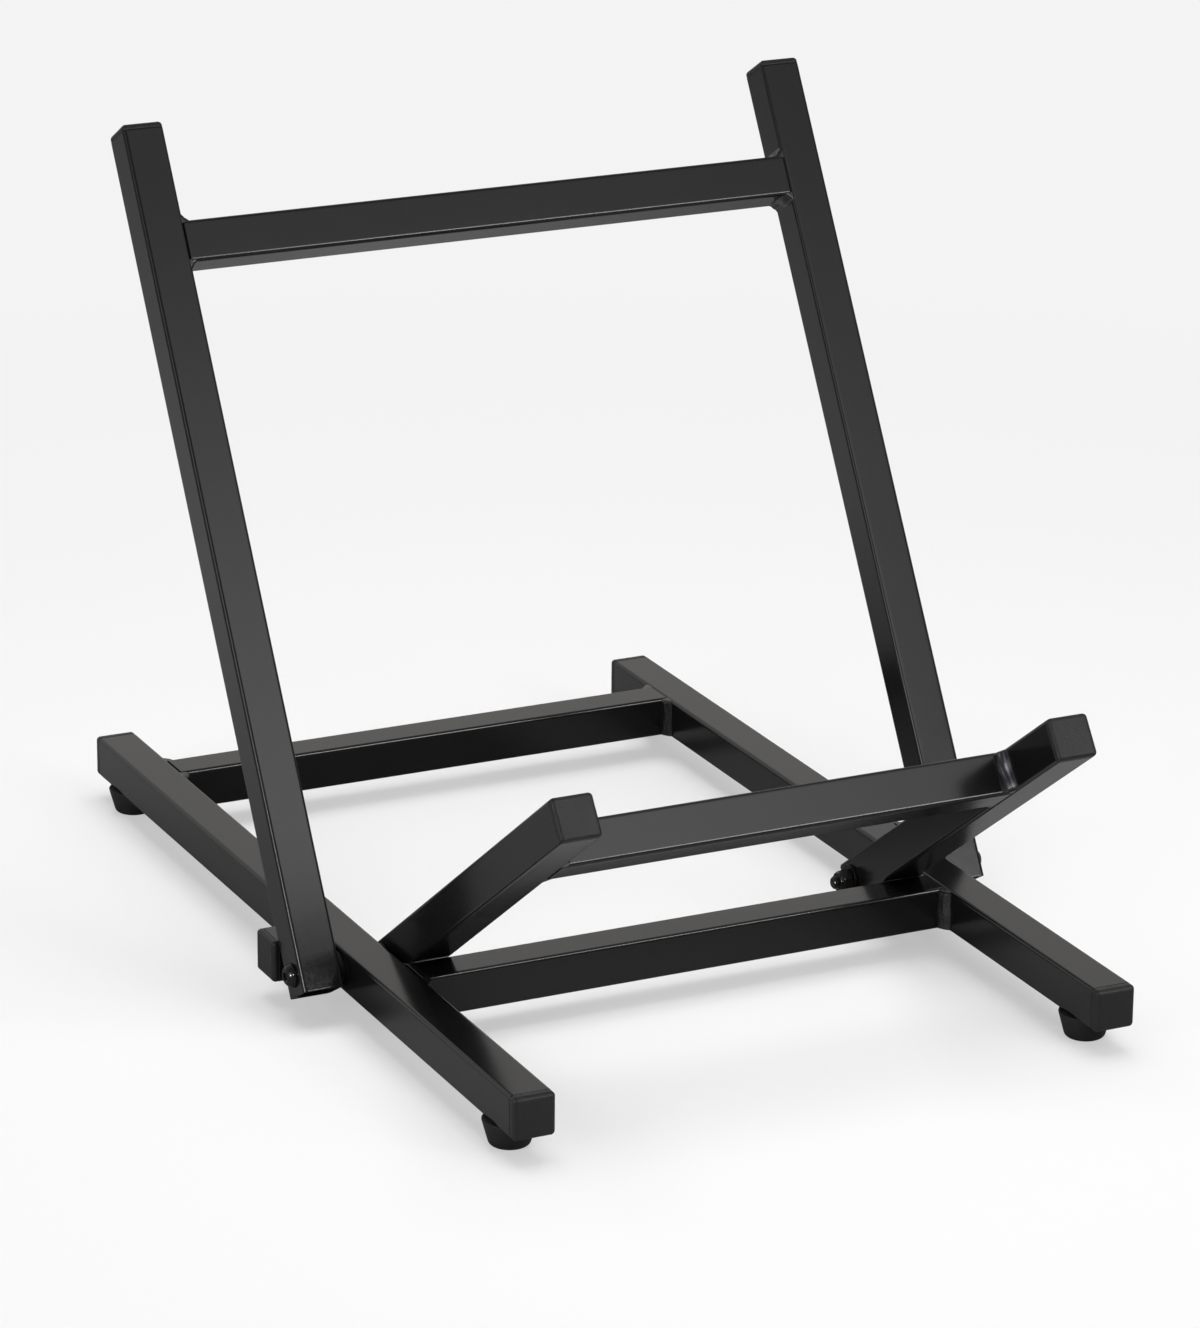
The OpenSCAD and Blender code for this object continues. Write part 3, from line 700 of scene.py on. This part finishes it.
def rub(tree, where, given):
    """Rubbed places: the piece's edge attribute broken up by noise, from 0 to 1."""
    edge = add(tree, "ShaderNodeAttribute", attribute_name="edge").outputs["Fac"]
    patches = remap(tree, noise(tree, where, given["Patch scale"], 5.0, 0.7), 0.3, 0.7, 0.0, 1.0)
    level = maths(tree, "SUBTRACT", 1.0, maths(tree, "MULTIPLY", given["Amount"], 0.6))
    return remap(tree, maths(tree, "MULTIPLY", edge, patches), level, 1.0, 0.0, 1.0)


def lighter(rgb, by):
    """Colour times a factor, held at 1."""
    return tuple(min(1.0, c * by) for c in rgb)


# For each slot: its colour; the second tone as a factor of it, and the rubbed tone as a
# factor or a colour of its own; the mottle's scale; the rub's amount and patch scale; the
# lowest, highest and rubbed roughness; the grain's fine and coarse scale and coarse share;
# the bump's strength and distance; and what else the shader needs.
Finish = namedtuple("Finish", "material colour second rubbed mottle rub rough grain bump shader")
COAT_GRAIN = (1100.0, 420.0, 0.6)
FINISHES = {
    "black_coat": Finish("Black powder coat", "coat", 1.25, "coat_rub", 14.0, (0.45, 70.0),
                         (0.16, 0.20, 0.22), COAT_GRAIN, (0.05, 0.0003), {}),
    "weld_metal": Finish("Coated weld", "coat", 1.3, "coat_rub", 120.0, (0.3, 300.0),
                         (0.24, 0.30, 0.26), COAT_GRAIN, (0.03, 0.0003), {"Specular IOR Level": 0.85}),
    "plug_plastic": Finish("Moulded plug plastic", "plug", 1.2, 1.6, 60.0, (0.5, 200.0),
                           (0.34, 0.44, 0.32), (1700.0, 800.0, 0.8), (0.7, 0.0003), {}),
    "foot_rubber": Finish("Foot rubber", "rubber", 1.3, 2.0, 80.0, (0.4, 200.0),
                          (0.55, 0.68, 0.5), (1500.0, 500.0, 0.7), (0.25, 0.0003), {}),
    "black_steel": Finish("Blackened steel", "steel", 1.4, 1.8, 260.0, (0.7, 500.0),
                          (0.05, 0.10, 0.10), (2400.0, 800.0, 0.6), (0.06, 0.0002), {"Metallic": 0.85}),
    "zinc_steel": Finish("Zinc-plated steel", "zinc", 0.8, 1.2, 300.0, (0.2, 500.0),
                         (0.25, 0.38, 0.25), (2400.0, 700.0, 0.6), (0.12, 0.0002), {"Metallic": 1.0}),
    "nylon": Finish("Spacer nylon", "nylon", 1.15, 1.3, 120.0, (0.2, 300.0),
                    (0.55, 0.65, 0.5), (2000.0, 700.0, 0.6), (0.15, 0.0002), {"Specular IOR Level": 0.2}),
}


def finish(slot):
    """Material of a slot, whose base colour, roughness and bump change over the surface."""
    f, colours = FINISHES[slot], settings().finish
    if f.material in bpy.data.materials:
        return bpy.data.materials[f.material]
    material = bpy.data.materials.new(f.material)
    material.use_nodes = True
    tree = material.node_tree
    shade = tree.nodes["Principled BSDF"]
    for label, value in f.shader.items():
        shade.inputs[label].default_value = value
    base = tuple(getattr(colours, f.colour))
    bright = tuple(getattr(colours, f.rubbed)) if isinstance(f.rubbed, str) else lighter(base, f.rubbed)
    slow = effect(tree, "Slow mottle", mottle, Scale=f.mottle)
    rubbed = effect(tree, "Edge rub", rub, Amount=f.rub[0], Patch_scale=f.rub[1])
    height = effect(tree, "Surface grain", grain, Fine=f.grain[0], Coarse=f.grain[1], Coarse_share=f.grain[2])
    paint = blend_colours(tree, slow, base, lighter(base, f.second))
    feed(tree, shade.inputs["Base Color"], blend_colours(tree, rubbed, paint, bright))
    gloss = remap(tree, slow, 0.0, 1.0, *f.rough[:2])
    gloss = maths(tree, "ADD", gloss, remap(tree, height, 0.5, 1.1, -0.04, 0.04))
    feed(tree, shade.inputs["Roughness"], remap(tree, rubbed, 0.0, 1.0, gloss, f.rough[2]))
    relief = add(tree, "ShaderNodeBump", Strength=f.bump[0], Distance=f.bump[1], Height=height)
    feed(tree, shade.inputs["Normal"], relief.outputs["Normal"])
    return material


# ---- pieces ----

class PieceMaker:
    """What the piece operators share."""
    bl_options = {"REGISTER", "UNDO"}

    @classmethod
    def poll(cls, context):
        return hasattr(context.scene, "tube_stand")


class STAND_OT_rails(PieceMaker, bpy.types.Operator):
    """Make the two side rails with their bores"""
    bl_idname = "tube_stand.rails"
    bl_label = "Side Rails"

    def execute(self, context):
        s = settings().tube
        bores = [(flat, PIVOT[1], s.bore) for flat in ACROSS]
        bores += [(0, y, s.screw_bore) for y in (-s.foot_at, s.foot_at)]
        for node in RAILS:
            low, high = corners(node)
            tube = tube_patches(low[1], high[1], bores)
            make_tube(node, tube.moved((middle(node)[0], 0, RAIL_Z), Y, X), "base")
        return {"FINISHED"}


class STAND_OT_base_bars(PieceMaker, bpy.types.Operator):
    """Make the front and rear crossbars of the base"""
    bl_idname = "tube_stand.base_bars"
    bl_label = "Base Crossbars"

    def execute(self, context):
        for node in BASE_BARS:
            low, high = corners(node)
            make_tube(node, tube_patches(low[0], high[0]).moved((0, *middle(node)[1:]), X, Y), "base")
        return {"FINISHED"}


class STAND_OT_stubs(PieceMaker, bpy.types.Operator):
    """Make the two stop stubs behind the uprights"""
    bl_idname = "tube_stand.stubs"
    bl_label = "Stop Stubs"

    def execute(self, context):
        for node, way in STUBS:
            near, far = corners(node)[::way]
            tube = tube_patches(0, abs(far[0] - near[0]))
            make_tube(node, tube.moved((near[0], *middle(node)[1:]), way * X, Y), "base")
        return {"FINISHED"}


class STAND_OT_backrest(PieceMaker, bpy.types.Operator):
    """Make the uprights and the crossbar of the backrest"""
    bl_idname = "tube_stand.backrest"
    bl_label = "Backrest"

    def execute(self, context):
        s = settings().tube
        make_frame(("left_upright", "right_upright"), s.tail_up, s.upright_tube,
                   "backrest_crossbar", s.back_bar_at, lean_ways(), "backrest")
        return {"FINISHED"}


class STAND_OT_shelf(PieceMaker, bpy.types.Operator):
    """Make the arms and the crossbar of the shelf"""
    bl_idname = "tube_stand.shelf"
    bl_label = "Shelf"

    def execute(self, context):
        s = settings().tube
        make_frame(("left_arm", "right_arm"), s.tail_arm, s.arm_tube,
                   "shelf_crossbar", s.shelf_bar_at, rise_ways(), "shelf")
        return {"FINISHED"}


def make_plug(node, body, head, seat, way, across):
    make_piece(node + "_moulding", plug_patches(head).moved(seat, way, across), body, "plug_plastic", node)


class STAND_OT_plugs(PieceMaker, bpy.types.Operator):
    """Make the ten end plugs"""
    bl_idname = "tube_stand.plugs"
    bl_label = "End Plugs"

    def execute(self, context):
        s, t = settings().plug, settings().tube
        for end, way in (("front", -1), ("rear", 1)):
            for node in RAILS:
                seat = (middle(node)[0], corners(node)[max(way, 0)][1], RAIL_Z)
                make_plug(f"{end}_{node}_plug", "base", s.rail_head, seat, way * Y, X)
        for stub, way in STUBS:
            seat = (corners(stub)[max(way, 0)][0], *middle(stub)[1:])
            make_plug(stub.replace("stub", "plug"), "base", s.frame_head, seat, way * X, Y)
        for side in ("left", "right"):
            for part, body, (along, _), reach in (("upright", "backrest", lean_ways(), t.upright_tube),
                                                  ("arm", "shelf", rise_ways(), t.arm_tube)):
                seat = pivot_at(middle(f"{side}_{part}")[0]) + along * reach
                make_plug(f"{side}_{part}_plug", body, s.frame_head, seat, along, X)
        return {"FINISHED"}


class STAND_OT_feet(PieceMaker, bpy.types.Operator):
    """Make the four rubber feet"""
    bl_idname = "tube_stand.feet"
    bl_label = "Feet"

    def execute(self, context):
        for node in ("front_left_foot", "front_right_foot", "rear_left_foot", "rear_right_foot"):
            foot = loop_patches(foot_outline()).moved((*middle(node)[:2], 0), Z, X)
            make_piece(node + "_rubber", foot, "base", "foot_rubber", node)
        return {"FINISHED"}


class STAND_OT_bolts(PieceMaker, bpy.types.Operator):
    """Make the two pivot bolts with their threads"""
    bl_idname = "tube_stand.bolts"
    bl_label = "Pivot Bolts"

    def execute(self, context):
        head = settings().pivot.head_high
        for node, way in (("left_pivot_bolt", 1), ("right_pivot_bolt", -1)):
            outer, inner = corners(node)[::way]
            bolt = bolt_patches(abs(inner[0] - outer[0]) - head)
            bolt.moved(pivot_at(outer[0] + way * head), way * X, Y)
            make_piece(node + "_steel", bolt, "base", "black_steel", node)
        return {"FINISHED"}


class STAND_OT_nuts(PieceMaker, bpy.types.Operator):
    """Make the lock nuts, washers and spacers"""
    bl_idname = "tube_stand.nuts"
    bl_label = "Nuts, Washers and Spacers"

    def execute(self, context):
        s, hole = settings().pivot, settings().tube.bore
        for node, way in (("left_lock_nut", 1), ("right_lock_nut", -1)):
            nut = nut_patches().moved(pivot_at(corners(node)[::way][0][0]), way * X, Y)
            make_piece(node + "_steel", nut, "base", "black_steel", node)
        washer = ring_outline(hole, s.washer, s.washer_thick, 0.00025)
        spacer = ring_outline(hole, s.spacer, s.spacer_thick, 0.0004)
        for node, outline, slot in (("nut_washers", washer, "black_steel"), ("outer_spacers", spacer, "nylon"),
                                    ("inner_spacers", spacer, "nylon")):
            outer = corners(node)[1][0]
            pair = Patches()
            for way in (1, -1):
                pair.and_also(loop_patches(outline).moved(pivot_at(-way * outer), way * X, Y))
            make_piece(node + "_pair", pair, "base", slot, node)
        return {"FINISHED"}


def fitted(bead, place, x_way, y_way, z_way):
    """Bead carried to a corner: its legs along x_way and y_way, its run along z_way.
    Where those three are left-handed the winding is turned, so faces stay outward."""
    axes = np.stack([x_way, y_way, z_way]).astype(float)
    bead.points = [p @ axes + np.asarray(place, float) for p in bead.points]
    if np.linalg.det(axes) < 0:
        bead.quads = [q[:, ::-1] for q in bead.quads]
    return bead


class STAND_OT_welds(PieceMaker, bpy.types.Operator):
    """Make the weld beads of the three frames"""
    bl_idname = "tube_stand.welds"
    bl_label = "Welds"

    def execute(self, context):
        s, t = settings().weld, settings().tube
        half, run = t.side / 2, t.side - 2 * t.corner
        base, seed = Patches(), 1
        inner = abs(float(corners("front_crossbar")[1][0]))
        legs, tight_legs = (s.leg, s.reach, s.bulge), (s.inner_leg, s.inner_leg, s.bulge)
        for stub, side in STUBS:
            for bar in BASE_BARS:
                low, high = corners(bar)
                for face_y, out in ((low[1], -1), (high[1], 1)):
                    tight = bar == "front_crossbar" and out > 0
                    bead = bead_patches(*(tight_legs if tight else legs), seed)
                    base.and_also(fitted(bead, (side * inner, face_y, RAIL_Z), -side * X, out * Y, Z))
                    seed += 3
                seam = seam_patches(s.seam, s.seam_high, run, seed)
                base.and_also(seam.moved((side * inner, middle(bar)[1], low[2]), Z, X))
                seed += 1
            rail_face = corners(stub)[::side][0][0]
            place = (rail_face, corners(stub)[1][1], middle(stub)[2])
            base.and_also(fitted(bead_patches(*legs, seed), place, side * X, Y, Z))
            seed += 3
        make_piece("base_weld_beads", base, "base", "weld_metal", "base_welds", sharp=60)
        back_legs = (s.back_leg, s.back_leg, s.back_bulge)
        for body, (along, out), at, bar_legs in (("backrest", lean_ways(), t.back_bar_at, back_legs),
                                                 ("shelf", rise_ways(), t.shelf_bar_at, legs)):
            beads = Patches()
            end = corners(body + "_crossbar")[1][0]
            for side in (-1, 1):
                for way in (-1, 1):
                    place = pivot_at(side * end) + along * (at + way * half)
                    beads.and_also(fitted(bead_patches(*bar_legs, seed), place, -side * X, way * along, out))
                    seed += 3
            make_piece(body + "_welds_beads", beads, body, "weld_metal", body + "_welds", sharp=60)
        return {"FINISHED"}


class STAND_OT_inner_steel(PieceMaker, bpy.types.Operator):
    """Give the inner screws, washers and nut rings their finishes"""
    bl_idname = "tube_stand.inner_steel"
    bl_label = "Inner Hardware"

    def execute(self, context):
        for node, slot in (("foot_discs", "zinc_steel"), ("foot_screws", "zinc_steel"),
                           ("lock_nut_rings", "nylon")):
            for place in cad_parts[node].material_slots:
                place.material = finish(slot)
        return {"FINISHED"}


# ---- stage ----

def either(tree, share, first, second):
    """Mix of two shaders."""
    mix = add(tree, "ShaderNodeMixShader", Fac=share)
    tree.links.new(first.outputs[0], mix.inputs[1])
    tree.links.new(second.outputs[0], mix.inputs[2])
    return mix


def softbox(name, place, aim, size, brightness, tint=(1.0, 1.0, 1.0)):
    """Panel of even brightness: its power is brightness times pi times its area."""
    light = bpy.data.lights.new(name, "AREA")
    light.color = tint
    light.shape = "RECTANGLE"
    light.size, light.size_y = size
    light.energy = brightness * math.pi * size[0] * size[1]
    box = bpy.data.objects.new(name, light)
    box.visible_camera = False
    box.location = place
    box.rotation_euler = (Vector(aim) - Vector(place)).to_track_quat("-Z", "Y").to_euler()
    bpy.context.scene.collection.objects.link(box)
    return box


def fade(box, across, along):
    """Make a panel dimmer along its local X and Y. Each is the two places, as shares
    of the side, between which the light falls, and the share of it that is left."""
    light = box.data
    light.use_nodes = True
    tree = light.node_tree
    x, y, _ = split_xyz(tree, tree.nodes.new("ShaderNodeNewGeometry").outputs["Parametric"])
    share = maths(tree, "MULTIPLY", remap(tree, x, *across[:2], 1.0, across[2]),
                  remap(tree, y, *along[:2], 1.0, along[2]))
    feed(tree, tree.nodes["Emission"].inputs["Strength"], share)


def only_on(lights, name, chosen):
    """Let lights reach only the meshes whose names are chosen."""
    receivers = bpy.data.collections.new(name)
    for item in [o for o in bpy.context.scene.objects if o.type == "MESH" and chosen(o.name)]:
        receivers.objects.link(item)
    for light in lights:
        light.light_linking.receiver_collection = receivers


class STAND_OT_stage(PieceMaker, bpy.types.Operator):
    """Make the floor, the light and the camera"""
    bl_idname = "tube_stand.stage"
    bl_label = "Stage"

    FLOOR_HALF = 14.0
    FLOOR_Z = -0.0002
    PAPER = (0.90, 0.90, 0.90)
    # the black that the floor's painted shadow and painted falloff of the light blend towards
    BLACK = (0.0, 0.0, 0.0)
    CAMERA_AT = (-1.35135862, -2.79881085, 1.24068831)
    CAMERA_TURN = (70.86099, -0.51461, -25.72768)
    CAMERA_LENS = 149.6136
    SENSOR = 36.0

    def execute(self, context):
        self.floor()
        self.sky(context.scene)
        self.lights()
        self.camera(context.scene)
        context.scene.view_settings.view_transform = "Standard"
        return {"FINISHED"}

    def floor(self):
        """Pale floor, plain where the camera sees it far off; the coat reflects a darker table
        with painted shade and painted falloff of the light.
        """
        r, z = self.FLOOR_HALF, self.FLOOR_Z
        mesh = bpy.data.meshes.new("Floor")
        mesh.from_pydata([(-r, -r, z), (r, -r, z), (r, r, z), (-r, r, z)], [], [(0, 1, 2, 3)])
        material = bpy.data.materials.new("Studio floor")
        material.use_nodes = True
        tree = material.node_tree
        shade = tree.nodes["Principled BSDF"]
        where = tree.nodes.new("ShaderNodeTexCoord").outputs["Object"]
        tone = tuple(settings().finish.floor)
        cloudy = blend_colours(tree, noise(tree, where, 3.0), tone, lighter(tone, 1.02))
        feed(tree, shade.inputs["Base Color"], cloudy)
        shade.inputs["Roughness"].default_value = 0.9
        shade.inputs["Specular IOR Level"].default_value = 0.1
        away = add(tree, "ShaderNodeVectorMath", operation="LENGTH", Vector=where).outputs["Value"]
        paper = add(tree, "ShaderNodeEmission", Color=(*self.PAPER, 1.0))
        seen = either(tree, remap(tree, away, 0.3, 1.5, 0.5, 1.0), shade, paper)
        # what glossy rays see: a matte floor whose colour holds the painted shadow and painted falloff of the
        # light from table()
        mirror = add(tree, "ShaderNodeBsdfPrincipled", Roughness=1.0, Specular_IOR_Level=0.0,
                     Base_Color=self.table(tree, where))
        glossy = tree.nodes.new("ShaderNodeLightPath").outputs["Is Glossy Ray"]
        both = either(tree, glossy, seen, mirror)
        tree.links.new(both.outputs[0], tree.nodes["Material Output"].inputs["Surface"])
        mesh.materials.append(material)
        floor = bpy.data.objects.new("Floor", mesh)
        bpy.context.scene.collection.objects.link(floor)

    def table(self, tree, where):
        """Colour of the floor as the coat reflects it, with painted light and shade in it:
        brightest just in front of the stand, a painted shadow between its rails, and a
        painted falloff of the light that makes it dimmer to the right."""
        f = settings().finish
        x, y, _ = split_xyz(tree, where)
        # painted falloff of the light: the front tone dims towards both sides
        painted_side_falloff = maths(tree, "MULTIPLY", remap(tree, x, -0.25, -0.12, 0.72, 1.0),
                      remap(tree, x, -0.05, 0.20, 1.0, 0.75))
        # painted shadow of the stand: the floor between the rails, darkest in the middle
        between = maths(tree, "ADD", remap(tree, x, -0.22, -0.14, 1.0, 0.4),
                        remap(tree, x, 0.08, 0.13, 0.0, 0.75))
        front = blend_colours(tree, painted_side_falloff, self.BLACK, tuple(f.table))
        shade = blend_colours(tree, between, self.BLACK, tuple(f.under))
        near = blend_colours(tree, remap(tree, y, -0.12, 0.06, 0.0, 1.0), front, shade)
        # painted falloff of the light: the tone behind the stand darkens to the right
        back = blend_colours(tree, remap(tree, x, 0.15, 0.5, 0.0, 0.6), tuple(f.beyond), self.BLACK)
        return blend_colours(tree, remap(tree, y, 0.2, 0.7, 0.0, 1.0), near, back)

    def sky(self, scene):
        """Studio round the stand: dim at the front and the sides, paler behind, and plain
        pale where the camera sees it past the floor."""
        world = bpy.data.worlds.new("Studio")
        world.use_nodes = True
        tree = world.node_tree
        towards = split_xyz(tree, tree.nodes.new("ShaderNodeTexCoord").outputs["Generated"])
        behind = remap(tree, towards["Y"], 0.1, 0.8, 0.0, 1.0)
        walls = blend_colours(tree, behind, (0.15, 0.15, 0.15), (0.60, 0.59, 0.575))
        seen = tree.nodes.new("ShaderNodeLightPath").outputs["Is Camera Ray"]
        feed(tree, tree.nodes["Background"].inputs["Color"], blend_colours(tree, seen, walls, self.PAPER))
        scene.world = world

    def lights(self):
        """Studio panels, some of them for one kind of piece only."""
        front = softbox("Front softbox", (0.50, -0.75, 1.0), (0.50, -0.75, 0), (1.2, 1.1), 2.5)
        fade(front, (0.46, 1.0, 0.2), (0.0, 0.8, 0.17))
        softbox("Key softbox", (-2.35, -1.15, 0.85), (0, 0, 0.15), (0.35, 0.5), 16.0, (0.97, 0.95, 1.06))
        softbox("Key glow", (-2.55, -1.25, 0.90), (0, 0, 0.15), (1.9, 1.9), 1.3, (1.0, 0.98, 1.12))
        fill = softbox("Camera fill", (-1.75, -2.28, 1.16), (-0.2, -0.1, 0.03), (0.25, 0.3), 110.0)
        glint = softbox("Bolt glint", (-2.24, -1.28, 0.60), (-0.24, -0.08, 0.03), (0.2, 0.35), 220.0)
        only_on((fill, glint), "Pivot hardware", lambda name: name.endswith("_steel"))
        strip = softbox("Edge strip", (1.24, -2.45, 1.20), (0, 0, 0.1), (0.8, 0.7), 10.5)
        high_strip = softbox("High strip", (1.23, -1.75, 2.20), (0, 0, 0.1), (0.8, 0.7), 10.5)
        rails, bars = ([node + "_tube" for node in nodes] for nodes in (RAILS, BASE_BARS))
        only_on((strip,), "Off the base tubes", lambda name: name not in rails + bars)
        only_on((high_strip,), "Base bars", lambda name: name in bars)
        wash = softbox("Floor wash", (0.1, 0.2, 2.4), (0, 0, 0.0), (1.8, 1.8), 3.1)
        wash.visible_glossy = False

    def camera(self, scene):
        """Camera where the photo's stood, as fitted to its edges."""
        camera = bpy.data.cameras.new("Camera")
        camera.sensor_fit = "VERTICAL"
        camera.sensor_height = self.SENSOR
        camera.lens = self.CAMERA_LENS
        camera.clip_start, camera.clip_end = 0.05, 100
        body = bpy.data.objects.new("Camera", camera)
        body.location = self.CAMERA_AT
        body.rotation_euler = Euler([math.radians(a) for a in self.CAMERA_TURN])
        scene.collection.objects.link(body)
        scene.camera = body


# ---- panel and add-on ----

STEPS = (STAND_OT_rails, STAND_OT_base_bars, STAND_OT_stubs, STAND_OT_backrest, STAND_OT_shelf,
         STAND_OT_plugs, STAND_OT_feet, STAND_OT_bolts, STAND_OT_nuts, STAND_OT_welds,
         STAND_OT_inner_steel, STAND_OT_stage)


class STAND_PT_panel(bpy.types.Panel):
    """Lists the stand's pieces"""
    bl_idname = "STAND_PT_panel"
    bl_label = "Tube Stand"
    bl_space_type = "VIEW_3D"
    bl_region_type = "UI"
    bl_category = "Tube Stand"

    def draw(self, context):
        for step in STEPS:
            self.layout.operator(step.bl_idname)


GROUPS = (STAND_PG_tube, STAND_PG_plug, STAND_PG_foot, STAND_PG_pivot, STAND_PG_weld, STAND_PG_finish,
          STAND_PG_settings)


def register():
    for item in GROUPS + STEPS + (STAND_PT_panel,):
        bpy.utils.register_class(item)
    bpy.types.Scene.tube_stand = pointer(STAND_PG_settings, "Tube stand", "Sizes and colours of the stand")


def unregister():
    del bpy.types.Scene.tube_stand
    for item in reversed(GROUPS + STEPS + (STAND_PT_panel,)):
        bpy.utils.unregister_class(item)


def main():
    register()
    for step in STEPS:
        group, name = step.bl_idname.split(".")
        getattr(getattr(bpy.ops, group), name)()


if __name__ == "__main__":
    main()
